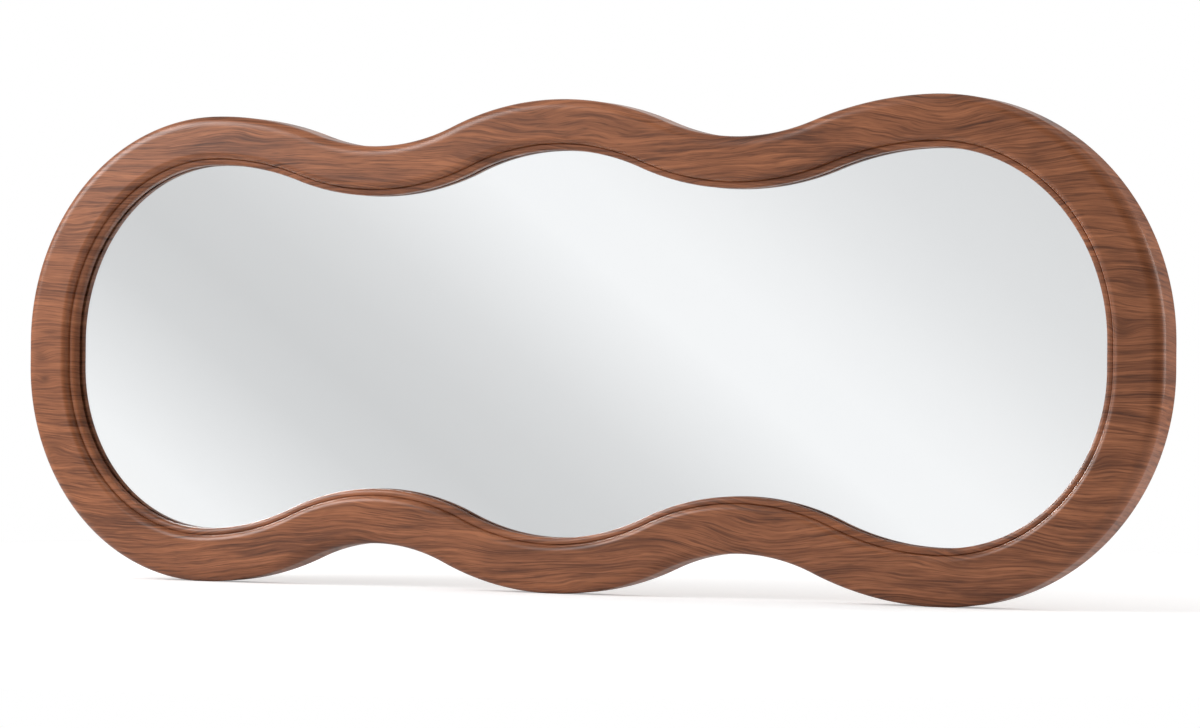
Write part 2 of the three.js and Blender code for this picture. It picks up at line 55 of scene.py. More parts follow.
BOTTOM_SHOULDER_RADIUS = 410
BOTTOM_HOLLOW_RADIUS = 243
BOTTOM_MIDDLE_RADIUS = 380
FOOT_FLAT_DEPTH = 0.3
OVERALL_DEPTH = 51.8

TOP_WIDTH = 63
BOTTOM_WIDTH = 69
END_WIDTH = 72.5
FRAME_WIDTH = 66
FRAME_DEPTH = 45
EDGE_WIDTH = 14
EDGE_DEPTH = 12
INNER_ROUND = 8
GROOVE_WIDTH = 1
GROOVE_DEPTH = 1.2
NOSE_FLAT = 2.5
NOSE_ROUND = 5
GLASS_SEAT = 19.5
GLASS_REBATE = 10
BOARD_REBATE = 16
BACK_CHAMFER = 2
UPPER_JOINT = 130
LOWER_JOINT = -65

GLASS_FRONT = 19.8
GLASS_THICKNESS = 4
BOARD_SEAT = 25.1
BOARD_FRONT = 25.4
BOARD_THICKNESS = 6
EDGE_CLEARANCE = 1

SCREW_RADIUS = 1.75
SCREW_HEAD_RADIUS = 3.5
SCREW_HEAD_HEIGHT = 2.2
SCREW_LENGTH = 16
SCREW_SINK = 0.2
SCREW_CLEARANCE = 0.3

CONTACT_GAP = 0.3
WIRE_RADIUS = 1.5
WIRE_SIDES = 20
RING_HALF_WIDTH = 12
RING_LENGTH = 22
RING_CORNER = 3
EYE_CLEARANCE = 0.35
EYE_WALL = 1
STRAP_WIDTH = 14
STRAP_LENGTH = 50
STRAP_THICKNESS = 1.6
STRAP_SCREW_INSETS = (7, 19)
STRAP_SCREW_RADIUS = 1.6
STRAP_SCREW_HEAD_RADIUS = 3.2
STRAP_SCREW_HEAD_HEIGHT = 2
STRAP_SCREW_LENGTH = 14
LEVEL_HANGER_HEIGHT = 100

BUMPER_RADIUS = 6
BUMPER_THICKNESS = 6.5
BUMPER_ANGLE = 45

MM = 0.001
SAME_PLACE = 1e-6
STATION_STEP = 1.2
SHARP_ANGLE = 30
MID_Z = HEIGHT / 2
HALF_DEPTH = OVERALL_DEPTH / 2
END_TOP = MID_Z - END_TOP_DROP
FOOT = -MID_Z - FOOT_FLAT_DEPTH
GLASS_WALL = FRAME_WIDTH - GLASS_REBATE
BOARD_WALL = GLASS_WALL - BOARD_REBATE
RIM_MIDDLE = BOARD_WALL / 2
EYE_INNER = WIRE_RADIUS + EYE_CLEARANCE
EYE_OUTER = EYE_INNER + EYE_WALL
STRAP_FRONT = FRAME_DEPTH + CONTACT_GAP
STRAP_BACK = STRAP_FRONT + STRAP_THICKNESS
RING_DEPTH = STRAP_BACK + CONTACT_GAP + WIRE_RADIUS

# Camera, as fitted to the outline's points in the photograph: place, aim and field of view
IMAGE_WIDTH = 1200
FOCAL_PIXELS = 4000
SENSOR_WIDTH = 36
CAMERA_PLACE = (2.4376, -4.3062, 0.2464)
CAMERA_YAW = -0.5052
CAMERA_PITCH = 0.0075
CAMERA_ROLL = 0.0078


# ---------------------------------------------------------------- outline
def hollow_between(lobe, other, radius, side):
    """The hollow that touches two lobes from outside, as (x, z, radius)."""
    near, far = lobe[2] + radius, other[2] + radius
    dx, dz = other[0] - lobe[0], other[1] - lobe[1]
    gap = math.hypot(dx, dz)
    along = (near * near - far * far + gap * gap) / (2 * gap)
    off = math.sqrt(near * near - along * along) * side
    x = lobe[0] + (dx * along - dz * off) / gap
    z = lobe[1] + (dz * along + dx * off) / gap
    return (x, z, radius)


def circle_under(x, top, radius):
    return (x, top - radius, radius)


def circle_over(x, bottom, radius):
    return (x, bottom + radius, radius)


TOP_CORNER_RADIUS = END_TOP - TOP_CORNER_HEIGHT
TOP_CORNER = circle_under(LENGTH / 2 - TOP_CORNER_RADIUS, END_TOP, TOP_CORNER_RADIUS)
TOP_SHOULDER = circle_under(TOP_CORNER[0], END_TOP, TOP_SHOULDER_RADIUS)
TOP_MIDDLE = circle_under(0, MID_Z, TOP_MIDDLE_RADIUS)
TOP_HOLLOW = hollow_between(TOP_MIDDLE, TOP_SHOULDER, TOP_HOLLOW_RADIUS, 1)
BOTTOM_CORNER_RADIUS = BOTTOM_CORNER_HEIGHT - FOOT
BOTTOM_CORNER = circle_over(LENGTH / 2 - BOTTOM_CORNER_RADIUS, FOOT, BOTTOM_CORNER_RADIUS)
BOTTOM_SHOULDER = circle_over(BOTTOM_CORNER[0], FOOT, BOTTOM_SHOULDER_RADIUS)
BOTTOM_MIDDLE = circle_over(0, FOOT, BOTTOM_MIDDLE_RADIUS)
BOTTOM_HOLLOW = hollow_between(BOTTOM_MIDDLE, BOTTOM_SHOULDER, BOTTOM_HOLLOW_RADIUS, -1)


def towards(start, end):
    return math.atan2(end[1] - start[1], end[0] - start[0])


def right_half():
    """Arcs of the right half, clockwise from the top: (circle, which way is out, angles passed)."""
    up, down = math.pi / 2, -math.pi / 2
    return [
        (TOP_MIDDLE, 1, (up, towards(TOP_MIDDLE, TOP_HOLLOW))),
        (TOP_HOLLOW, -1, (
            towards(TOP_HOLLOW, TOP_MIDDLE), down, towards(TOP_HOLLOW, TOP_SHOULDER))),
        (TOP_SHOULDER, 1, (towards(TOP_SHOULDER, TOP_HOLLOW), up)),
        (TOP_CORNER, 1, (up, 0)),
        (BOTTOM_CORNER, 1, (0, down)),
        (BOTTOM_SHOULDER, 1, (down, towards(BOTTOM_SHOULDER, BOTTOM_HOLLOW))),
        (BOTTOM_HOLLOW, -1, (
            towards(BOTTOM_HOLLOW, BOTTOM_SHOULDER), up, towards(BOTTOM_HOLLOW, BOTTOM_MIDDLE))),
        (BOTTOM_MIDDLE, 1, (towards(BOTTOM_MIDDLE, BOTTOM_HOLLOW), down)),
    ]


def unwound(angles):
    """The same angles, each turned to go on from the last one the short way."""
    result = [angles[0]]
    for angle in angles[1:]:
        result.append(angle - 2 * math.pi * round((angle - result[-1]) / (2 * math.pi)))
    return result


def station(circle, out, angle):
    """A point on the outline, its outward normal and the frame's width there.

    The width is a share of the one that the section is drawn with.
    """
    cos, sin = math.cos(angle), math.sin(angle)
    nx, nz = cos * out, sin * out
    level_width = TOP_WIDTH if nz > 0 else BOTTOM_WIDTH
    share = (END_WIDTH * nx * nx + level_width * nz * nz) / FRAME_WIDTH
    return (circle[0] + circle[2] * cos, circle[1] + circle[2] * sin, nx, nz, share)


def outline_stations(step):
    """Stations all round the outline, in millimetres about its middle."""
    right = []
    for circle, out, angles in right_half():
        passed = unwound(angles)
        for first, last in zip(passed, passed[1:]):
            count = max(1, math.ceil(abs(last - first) / step))
            for k in range(count + 1):
                s = station(circle, out, first + (last - first) * k / count)
                if not right or math.dist(s[:2], right[-1][:2]) > SAME_PLACE:
                    right.append(s)
    left = [(-s[0], s[1], -s[2], s[3], s[4]) for s in reversed(right) if s[0] > SAME_PLACE]
    return right + left


STATIONS = outline_stations(math.radians(STATION_STEP))


def place(x, depth, z):
    """A point of the frame's own sizes, in metres in the model's frame."""
    return Vector((x * MM, (depth - HALF_DEPTH) * MM, (z + MID_Z) * MM))


def inset(s, amount):
    reach = amount * s[4]
    return (s[0] - s[2] * reach, s[1] - s[3] * reach)


def end_reach(z, amount):
    """Distance from the middle to the right end's outline, inset, at a height above the middle."""
    points = [inset(s, amount) for s in STATIONS]
    reach = 0
    for p, q in zip(points, points[1:] + points[:1]):
        if p[1] != q[1] and (p[1] - z) * (q[1] - z) <= 0:
            reach = max(reach, p[0] + (q[0] - p[0]) * (z - p[1]) / (q[1] - p[1]))
    return reach


# ---------------------------------------------------------------- meshes
def mesh_object(name, bm):
    """An object from a bmesh, smooth but for its sharp edges."""
    bmesh.ops.recalc_face_normals(bm, faces=bm.faces)
    mesh = bpy.data.meshes.new(name)
    bm.to_mesh(mesh)
    bm.free()
    mesh.shade_smooth()
    mesh.set_sharp_from_angle(angle=math.radians(SHARP_ANGLE))
    obj = bpy.data.objects.new(name, mesh)
    bpy.context.scene.collection.objects.link(obj)
    return obj


def closed_sweep(rings):
    """A closed loop of equal rings of points, as one closed surface."""
    bm = bmesh.new()
    loops = [[bm.verts.new(p) for p in ring] for ring in rings]
    for i, loop in enumerate(loops):
        following = loops[(i + 1) % len(loops)]
        for j in range(len(loop)):
            k = (j + 1) % len(loop)
            bm.faces.new((loop[j], following[j], following[k], loop[k]))
    return bm


def turned(profile, sides):
    """A surface turned about the Y axis from (radius, y) pairs that start and end on the axis."""
    bm = bmesh.new()
    rings = []
    for radius, y in profile:
        if radius == 0:
            rings.append([bm.verts.new((0, y, 0))])
            continue
        ring = []
        for k in range(sides):
            angle = 2 * math.pi * k / sides
            ring.append(bm.verts.new((radius * math.cos(angle), y, radius * math.sin(angle))))
        rings.append(ring)
    for low, high in zip(rings, rings[1:]):
        for k in range(sides):
            corners = [
                low[k % len(low)], low[(k + 1) % len(low)],
                high[(k + 1) % len(high)], high[k % len(high)]]
            bm.faces.new(list(dict.fromkeys(corners)))
    return bm


def prism(points, front, back):
    """A plate whose outline is given in X and Z, between two depths."""
    bm = bmesh.new()
    bottom = [bm.verts.new((x, front, z)) for x, z in points]
    top = [bm.verts.new((x, back, z)) for x, z in points]
    bm.faces.new(bottom)
    bm.faces.new(list(reversed(top)))
    for k in range(len(points)):
        following = (k + 1) % len(points)
        bm.faces.new((bottom[k], top[k], top[following], bottom[following]))
    return bm


def boolean(obj, other, operation):
    """Cuts or joins another object into obj for good, and deletes the other one."""
    modifier = obj.modifiers.new("cut", "BOOLEAN")
    modifier.operation = operation
    modifier.solver = "EXACT"
    modifier.object = other
    apply_modifiers(obj)
    bpy.data.objects.remove(other)


def bevel(obj, width):
    """Eases the sharp edges of an object for good."""
    modifier = obj.modifiers.new("bevel", "BEVEL")
    modifier.width = width
    modifier.segments = 2
    modifier.limit_method = "ANGLE"
    modifier.angle_limit = math.radians(40)
    apply_modifiers(obj)


def apply_modifiers(obj):
    depsgraph = bpy.context.evaluated_depsgraph_get()
    mesh = bpy.data.meshes.new_from_object(obj.evaluated_get(depsgraph))
    obj.modifiers.clear()
    obj.data = mesh


def smooth(obj, sharp_angle=SHARP_ANGLE):
    obj.data.shade_smooth()
    obj.data.set_sharp_from_angle(angle=math.radians(sharp_angle))


def arc(x, z, radius, start, end, steps):
    """Points on an arc, in degrees."""
    angles = [math.radians(start + (end - start) * k / steps) for k in range(steps + 1)]
    return [(x + radius * math.cos(a), z + radius * math.sin(a)) for a in angles]


# ---------------------------------------------------------------- shader nodes
def srgb(red, green, blue):
    """A colour as seen on a screen, 0 to 255, as the linear colour that shaders use."""
    def linear(value):
        value /= 255
        return value / 12.92 if value <= 0.04045 else ((value + 0.055) / 1.055) ** 2.4
    return (linear(red), linear(green), linear(blue), 1)


def node(tree, kind, inputs=None, **settings):
    """Adds a node. Inputs are values or sockets, by name or number."""
    added = tree.nodes.new(kind)
    for key, value in settings.items():
        setattr(added, key, value)
    for key, value in (inputs or {}).items():
        if isinstance(value, bpy.types.NodeSocket):
            tree.links.new(value, added.inputs[key])
        else:
            added.inputs[key].default_value = value
    return added


def calc(tree, operation, *values):
    return node(tree, "ShaderNodeMath", dict(enumerate(values)), operation=operation).outputs[0]


def plus(tree, first, second):
    return calc(tree, "ADD", first, second)


def minus(tree, first, second):
    return calc(tree, "SUBTRACT", first, second)


def times(tree, first, second):
    return calc(tree, "MULTIPLY", first, second)


def mapped(tree, vector, scale, shift=(0, 0, 0)):
    inputs = {"Vector": vector, "Scale": scale, "Location": shift}
    return node(tree, "ShaderNodeMapping", inputs).outputs[0]


def noise(tree, vector, scale, detail, roughness=0.5, shift=(0, 0, 0)):
    """Noise that repeats about so many times a metre along each axis."""
    inputs = {
        "Vector": mapped(tree, vector, scale, shift), "Scale": 1.0,
        "Detail": detail, "Roughness": roughness}
    return node(tree, "ShaderNodeTexNoise", inputs).outputs["Fac"]


def ramp(tree, factor, stops, interpolation="LINEAR"):
    added = node(tree, "ShaderNodeValToRGB", {"Fac": factor})
    added.color_ramp.interpolation = interpolation
    elements = added.color_ramp.elements
    while len(elements) < len(stops):
        elements.new(1.0)
    for element, (position, colour) in zip(elements, stops):
        element.position = position
        element.color = colour
    return added.outputs["Color"]


def mixed(tree, factor, first, second):
    inputs = {0: factor, 6: first, 7: second}
    return node(tree, "ShaderNodeMix", inputs, data_type="RGBA").outputs[2]


def mixed_shader(tree, factor, first, second):
    inputs = {0: factor, 1: first.outputs[0], 2: second.outputs[0]}
    return node(tree, "ShaderNodeMixShader", inputs)


def stretch(tree, value, low, high, to_low=0.0, to_high=1.0):
    inputs = {
        "Value": value, "From Min": low, "From Max": high, "To Min": to_low, "To Max": to_high}
    return node(tree, "ShaderNodeMapRange", inputs).outputs[0]


def bumped(tree, height, strength, distance):
    inputs = {"Height": height, "Strength": strength, "Distance": distance}
    return node(tree, "ShaderNodeBump", inputs).outputs["Normal"]


def new_material(name, **shader_inputs):
    """A material with one Principled shader, its tree and that shader."""
    material = bpy.data.materials.new(name)
    material.use_nodes = True
    tree = material.node_tree
    tree.nodes.clear()
    shader = node(tree, "ShaderNodeBsdfPrincipled")
    for key, value in shader_inputs.items():
        shader.inputs[key.replace("_", " ")].default_value = value
    node(tree, "ShaderNodeOutputMaterial", {"Surface": shader.outputs[0]})
    return material, tree, shader


def rest_place(tree):
    return node(tree, "ShaderNodeTexCoord").outputs["Object"]


# ---------------------------------------------------------------- materials
WALNUT_DARK = (84, 46, 26)
WALNUT_BROWN = (118, 68, 41)
WALNUT_MID = (141, 85, 54)
WALNUT_LIGHT = (172, 108, 72)


def tinted(colour, tone):
    return srgb(*(min(255, c * tone) for c in colour))


# How often each part of walnut's grain repeats in a metre: along the board, through it and across
SHIFT_SCALE = (1, 0.3, 1)
DRIFT_SCALE = (2.6, 2.6, 5)
WANDER_SCALE = (9, 9, 26)
BAND_SCALE = (3.5, 5, 42)
STREAK_SCALE = (7, 10, 300)
FIBRE_SCALE = (22, 30, 640)
LINE_SCALE = (13, 16, 420)
PORE_SCALE = (42, 60, 900)

# How far the grain wanders, in metres, and its rise through the thickness of a board
GRAIN_DRIFT = 0.09
GRAIN_WANDER = 0.0144
GRAIN_SLOPE = 0.10

# What each part of the grain adds to the colour
BAND_SHARE = 0.34
STREAK_SHARE = 0.36
FIBRE_SHARE = 0.30
FIGURE_GAIN = 1.25
LINE_STRENGTH = 0.55
PORE_STRENGTH = 0.35


def grain_height(tree, rest, split, shift, knots):
    """The height across the grain, bent by waves and knots, and how dark the knots make it."""
    shifted = mapped(tree, rest, SHIFT_SCALE, shift)
    drift = minus(tree, noise(tree, shifted, DRIFT_SCALE, 2), 0.5)
    wander = minus(tree, noise(tree, shifted, WANDER_SCALE, 2), 0.5)
    height = plus(tree, split[2], times(tree, drift, GRAIN_DRIFT))
    height = plus(tree, height, times(tree, wander, GRAIN_WANDER))
    height = plus(tree, height, times(tree, split[1], GRAIN_SLOPE))
    shade = None
    for knot_x, knot_z, half_length, half_height, swell, darkness in knots:
        across = calc(tree, "DIVIDE", minus(tree, split[0], knot_x), half_length)
        above = calc(tree, "DIVIDE", minus(tree, split[2], knot_z), half_height)
        away = plus(tree, times(tree, across, across), times(tree, above, above))
        hill = calc(tree, "EXPONENT", times(tree, away, -1.0))
        height = plus(tree, height, times(tree, hill, swell))
        if darkness:
            core = times(tree, calc(tree, "POWER", hill, 2.0), darkness)
            shade = core if shade is None else calc(tree, "MAXIMUM", shade, core)
    return height, shade


def walnut(name, shift, tone, knots, contrast=1.0):
    """Walnut with its grain along X, as one board of its own.

    shift moves the grain, tone lightens it, contrast is how strong it is, and knots are hills
    in the grain: (x, z, half length, half height, swell, darkness). Some of them have to be dark.
    """
    material, tree, shader = new_material(name, Specular_IOR_Level=0.42)
    rest = rest_place(tree)
    split = node(tree, "ShaderNodeSeparateXYZ", {0: rest}).outputs
    height, shade = grain_height(tree, rest, split, shift, knots)
    warped = node(tree, "ShaderNodeCombineXYZ", {0: split[0], 1: split[1], 2: height}).outputs[0]
    bands = noise(tree, warped, BAND_SCALE, 2, 0.6, shift)
    streaks = noise(tree, warped, STREAK_SCALE, 2, 0.7, shift)
    fibres = noise(tree, warped, FIBRE_SCALE, 2, 0.7, shift)
    lines = noise(tree, warped, LINE_SCALE, 2, 0.6, shift)
    pores = noise(tree, warped, PORE_SCALE, 1, 0.5, shift)

    figure = times(tree, bands, BAND_SHARE)
    figure = plus(tree, figure, times(tree, streaks, STREAK_SHARE))
    figure = plus(tree, figure, times(tree, fibres, FIBRE_SHARE))
    figure = times(tree, minus(tree, figure, 0.5), FIGURE_GAIN * contrast)
    figure = plus(tree, figure, 0.5)
    dark = tinted(WALNUT_DARK, tone)
    colour = ramp(tree, figure, [
        (0.34, dark),
        (0.42, tinted(WALNUT_BROWN, tone)),
        (0.50, tinted(WALNUT_MID, tone)),
        (0.64, tinted(WALNUT_LIGHT, tone)),
    ])
    line = times(tree, stretch(tree, lines, 0.56, 0.66), LINE_STRENGTH * contrast)
    pore = stretch(tree, pores, 0.60, 0.72)
    colour = mixed(tree, line, colour, dark)
    colour = mixed(tree, times(tree, pore, PORE_STRENGTH), colour, tinted(WALNUT_DARK, tone * 0.8))
    colour = mixed(tree, shade, colour, tinted(WALNUT_DARK, tone * 1.05))
    tree.links.new(colour, shader.inputs["Base Color"])
    tree.links.new(stretch(tree, figure, 0.38, 0.6, 0.38, 0.31), shader.inputs["Roughness"])
    relief = minus(tree, times(tree, fibres, 0.5), times(tree, pore, 0.5))
    tree.links.new(bumped(tree, relief, 0.10, 0.0002), shader.inputs["Normal"])
    return material


def silvered_glass():
    material, tree, shader = new_material("silvered_glass", Metallic=1.0)
    haze = noise(tree, rest_place(tree), (3, 3, 3), 2)
    tree.links.new(stretch(tree, haze, 0.3, 0.7, 0.0, 0.012), shader.inputs["Roughness"])
    tint = ramp(tree, haze, [(0.3, (0.955, 0.962, 0.968, 1)), (0.7, (0.962, 0.967, 0.970, 1))])
    tree.links.new(tint, shader.inputs["Base Color"])
    return material


def clear_glass():
    material, tree, shader = new_material(
        "clear_glass", Roughness=0.0, IOR=1.5, Transmission_Weight=1.0)
    haze = noise(tree, rest_place(tree), (2, 2, 2), 2)
    tint = ramp(tree, haze, [(0.3, (0.985, 0.992, 0.988, 1)), (0.7, (0.990, 0.995, 0.992, 1))])
    tree.links.new(tint, shader.inputs["Base Color"])
    return material


def glass_edge():
    material, tree, shader = new_material("glass_edge", Roughness=0.25)
    streak = noise(tree, rest_place(tree), (40, 900, 40), 2)
    colour = ramp(tree, streak, [(0.35, srgb(70, 104, 92)), (0.65, srgb(112, 146, 132))])
    tree.links.new(colour, shader.inputs["Base Color"])
    return material


def hardboard():
    material, tree, shader = new_material("hardboard")
    rest = rest_place(tree)
    fleck = noise(tree, rest, (260, 260, 260), 5, 0.65)
    cloud = noise(tree, rest, (9, 9, 9), 3)
    tone = plus(tree, times(tree, fleck, 0.7), times(tree, cloud, 0.3))
    colour = ramp(tree, tone, [
        (0.36, srgb(96, 68, 46)), (0.5, srgb(126, 92, 64)), (0.62, srgb(150, 114, 82))])
    tree.links.new(colour, shader.inputs["Base Color"])
    tree.links.new(stretch(tree, fleck, 0.3, 0.7, 0.7, 0.86), shader.inputs["Roughness"])
    tree.links.new(bumped(tree, fleck, 0.3, 0.0003), shader.inputs["Normal"])
    return material


def zinc_steel():
    material, tree, shader = new_material("zinc_steel", Metallic=1.0)
    rest = rest_place(tree)
    spangle = noise(tree, rest, (300, 300, 300), 3)
    rub = noise(tree, rest, (90, 90, 900), 3)
    colour = ramp(tree, spangle, [(0.35, srgb(176, 179, 182)), (0.65, srgb(212, 214, 215))])
    tree.links.new(colour, shader.inputs["Base Color"])
    tree.links.new(stretch(tree, rub, 0.3, 0.7, 0.26, 0.42), shader.inputs["Roughness"])
    tree.links.new(bumped(tree, rub, 0.12, 0.0001), shader.inputs["Normal"])
    return material


def black_rubber():
    material, tree, shader = new_material("black_rubber")
    grain = noise(tree, rest_place(tree), (900, 900, 900), 3)
    colour = ramp(tree, grain, [(0.3, srgb(30, 29, 28)), (0.7, srgb(44, 43, 41))])
    tree.links.new(colour, shader.inputs["Base Color"])
    tree.links.new(stretch(tree, grain, 0.3, 0.7, 0.62, 0.8), shader.inputs["Roughness"])
    tree.links.new(bumped(tree, grain, 0.25, 0.0002), shader.inputs["Normal"])
    return material


def beech():
    material, tree, shader = new_material("beech")
    grain = noise(tree, rest_place(tree), (600, 600, 30), 3)
    colour = ramp(tree, grain, [(0.35, srgb(186, 148, 106)), (0.65, srgb(214, 180, 138))])
    tree.links.new(colour, shader.inputs["Base Color"])
    tree.links.new(stretch(tree, grain, 0.3, 0.7, 0.62, 0.74), shader.inputs["Roughness"])
    tree.links.new(bumped(tree, grain, 0.2, 0.0003), shader.inputs["Normal"])
    return material


def white_foam():
    material, tree, shader = new_material("white_foam")
    cells = noise(tree, rest_place(tree), (1400, 1400, 1400), 2)
    colour = ramp(tree, cells, [(0.3, srgb(216, 216, 210)), (0.7, srgb(236, 236, 231))])
    tree.links.new(colour, shader.inputs["Base Color"])
    tree.links.new(stretch(tree, cells, 0.3, 0.7, 0.88, 0.97), shader.inputs["Roughness"])
    tree.links.new(bumped(tree, cells, 0.4, 0.0003), shader.inputs["Normal"])
    return material


# ---------------------------------------------------------------- pieces
def finish_piece(obj, materials, body, slot_name, *nodes):
    """Gives a piece its materials and its body, and hides the CAD nodes that it stands for."""
    for material in materials:
        obj.data.materials.append(material)
    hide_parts(*nodes)
    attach(obj, body)
    return obj


def frame_section():
    """The frame's section as (inset, depth) pairs, with close points where flats meet rounds."""
    eased = 0.8
    round_start = FRAME_WIDTH - NOSE_ROUND - NOSE_FLAT - GROOVE_WIDTH - INNER_ROUND
    groove = round_start + INNER_ROUND
    nose = FRAME_WIDTH - NOSE_ROUND
    points = [(0, EDGE_DEPTH + eased)]
    edge = arc(0, 0, 1, 180, 90, 14)
    points += [(EDGE_WIDTH * (1 + u), EDGE_DEPTH * (1 - d)) for u, d in edge]
    points += [(EDGE_WIDTH + eased, 0), (round_start - eased, 0)]
    points += [(u, -d) for u, d in arc(round_start, -INNER_ROUND, INNER_ROUND, 90, 0, 10)]
    for across, deep in ((0.3, 0.8), (0.5, 1.0), (0.7, 0.8)):
        points += [(groove + GROOVE_WIDTH * across, INNER_ROUND + GROOVE_DEPTH * deep)]
    points += [(groove + GROOVE_WIDTH, INNER_ROUND + 0.2)]
    points += [(groove + GROOVE_WIDTH + 0.3, INNER_ROUND)]
    points += [(u, -d) for u, d in arc(nose, -INNER_ROUND - NOSE_ROUND, NOSE_ROUND, 90, 0, 8)]
    points += [(FRAME_WIDTH, GLASS_SEAT - 0.4), (FRAME_WIDTH - 0.4, GLASS_SEAT)]
    points += [(GLASS_WALL, GLASS_SEAT), (GLASS_WALL, BOARD_SEAT), (BOARD_WALL, BOARD_SEAT)]
    points += [(BOARD_WALL, FRAME_DEPTH - 0.6), (BOARD_WALL - 0.6, FRAME_DEPTH)]
    points += [(BACK_CHAMFER, FRAME_DEPTH), (0, FRAME_DEPTH - BACK_CHAMFER)]
    return points


def ring_point(s, amount, depth):
    """A point of the frame's ring, kept off the floor where the lobes are planed flat."""
    x, z = inset(s, amount)
    return place(x, depth, max(z, -MID_Z))


FAR = LENGTH

# Each board: name, lower and upper joint, side (0 for both) and the look of its wood
BOARDS = [
    ("frame_top_rail", UPPER_JOINT, FAR, 0, dict(shift=(0.30, 0.10, 0.00), tone=1.0, knots=(
        (0.12, 0.566, 0.120, 0.022, 0.012, 0.0),
        (-0.33, 0.530, 0.090, 0.016, 0.006, 0.0),
        (-0.776, 0.457, 0.009, 0.014, 0.010, 0.65),
        (0.640, 0.519, 0.030, 0.012, 0.005, 0.40)))),
    ("frame_left_stile", LOWER_JOINT, UPPER_JOINT, -1, dict(
        shift=(9.4, 2.6, 4.7), tone=1.02, contrast=0.8, knots=(
            (-0.775, 0.288, 0.016, 0.011, 0.006, 0.50),
            (-0.770, 0.261, 0.011, 0.007, 0.003, 0.75),
            (-0.762, 0.3225, 0.020, 0.0022, 0.0, 0.75)))),
    ("frame_right_stile", LOWER_JOINT, UPPER_JOINT, 1, dict(
        shift=(21.9, 5.8, 9.9), tone=0.98, contrast=0.9, knots=(
            (0.750, 0.322, 0.020, 0.013, 0.009, 0.55),
            (0.768, 0.372, 0.024, 0.008, 0.003, 0.35)))),
    ("frame_bottom_rail", -FAR, LOWER_JOINT, 0, dict(shift=(29.6, 7.1, 13.8), tone=0.99, knots=(
        (0.480, 0.040, 0.030, 0.010, 0.004, 0.35),
        (0.545, 0.050, 0.028, 0.012, 0.005, 0.35),
        (0.712, 0.175, 0.012, 0.009, 0.006, 0.60),
        (0.030, 0.050, 0.110, 0.018, 0.006, 0.0),
        (-0.756, 0.172, 0.028, 0.010, -0.006, 0.45)))),
]


def cut_level(bm, joint, keep_above):
    """Cuts a bmesh at a joint's height and closes it there."""
    level = place(0, 0, joint)
    geometry = bm.verts[:] + bm.edges[:] + bm.faces[:]
    bmesh.ops.bisect_plane(
        bm, geom=geometry, plane_co=level, plane_no=(0, 0, 1), dist=1e-7,
        clear_inner=keep_above, clear_outer=not keep_above)
    open_edges = [e for e in bm.edges if e.is_boundary]
    bmesh.ops.holes_fill(bm, edges=open_edges, sides=0)


def make_boards():
    section = frame_section()
    ring = closed_sweep([[ring_point(s, u, d) for u, d in section] for s in STATIONS])
    for name, low, high, side, wood in BOARDS:
        bm = ring.copy()
        if low > -FAR:
            cut_level(bm, low, True)
        if high < FAR:
            cut_level(bm, high, False)
        if side:
            other_side = [v for v in bm.verts if v.co.x * side < 0]
            bmesh.ops.delete(bm, geom=other_side, context="VERTS")
        obj = mesh_object(name.replace("frame_", "walnut_"), bm)
        finish_piece(obj, [walnut(obj.name, **wood)], "frame", "walnut", name)
    ring.free()


def make_glass():
    """One slab: silver on its back, ground edges and clear glass in front."""
    outline = [inset(s, GLASS_WALL + EDGE_CLEARANCE) for s in STATIONS]
    obj = mesh_object("silvered_pane", prism(outline, GLASS_FRONT, GLASS_FRONT + GLASS_THICKNESS))
    to_model(obj)
    materials = [silvered_glass(), glass_edge(), clear_glass()]
    finish_piece(obj, materials, "frame", "mirror", "mirror_glass")
    for face in obj.data.polygons:
        if face.normal.y < -0.5:
            face.material_index = 2
        elif face.normal.y < 0.5:
            face.material_index = 1


def to_model(obj, x=0.0, z=0.0, turn=0.0):
    """Puts a piece made in millimetres in the model's frame, its own middle at (x, z)."""
    shift = Matrix.Translation(place(x, 0, z))
    obj.data.transform(shift @ Matrix.Rotation(turn, 4, "Y") @ Matrix.Scale(MM, 4))


# How far along each arc of the right half a screw of the back board stands
SCREW_SHARES = (0, 0.5, 0.6, 0.62, 0.38, 0.4, 0.5, 1)


def board_screw_places():
    """Places of the back board's screws, in the order of the CAD nodes."""
    amount = BOARD_WALL + BOARD_REBATE / 2
    places = []
    for (circle, out, angles), share in zip(right_half(), SCREW_SHARES):
        passed = unwound(angles)
        on_axis = circle[0] == 0
        angle = passed[0] + (passed[-1] - passed[0]) * share
        if on_axis:
            angle = math.copysign(math.pi / 2, angles[0])
        x, z = inset(station(circle, out, angle), amount)
        places.append((x, z))
        if not on_axis:
            places.append((-x, z))
    return places


def cross_recess(radius, top, depth):
    """A cutter for a screw head's cross, one closed solid whose arms get shorter to its bottom."""
    half, bottom_share, margin = 0.35, 0.45, 0.01
    outline = []
    for across, up in ((1, 0), (0, 1), (-1, 0), (0, -1)):
        for along, aside in ((radius, -half), (radius, half), (half, half)):
            outline.append((along * across - aside * up, along * up + aside * across))
    bm = prism(outline, top - depth, top + 1)
    for v in bm.verts:
        if v.co.y < top:
            v.co.x *= bottom_share if abs(v.co.x) > half + margin else 1
            v.co.z *= bottom_share if abs(v.co.z) > half + margin else 1
    return bm


def screw_mesh(name, profile, top, recess_radius, recess_depth, tilt):
    obj = mesh_object(name, turned(profile, 32))
    cutter = mesh_object(name + "_cross", cross_recess(recess_radius, top, recess_depth))
    cutter.data.transform(Matrix.Rotation(tilt, 4, "Y"))
    boolean(obj, cutter, "DIFFERENCE")
    smooth(obj)
    return obj


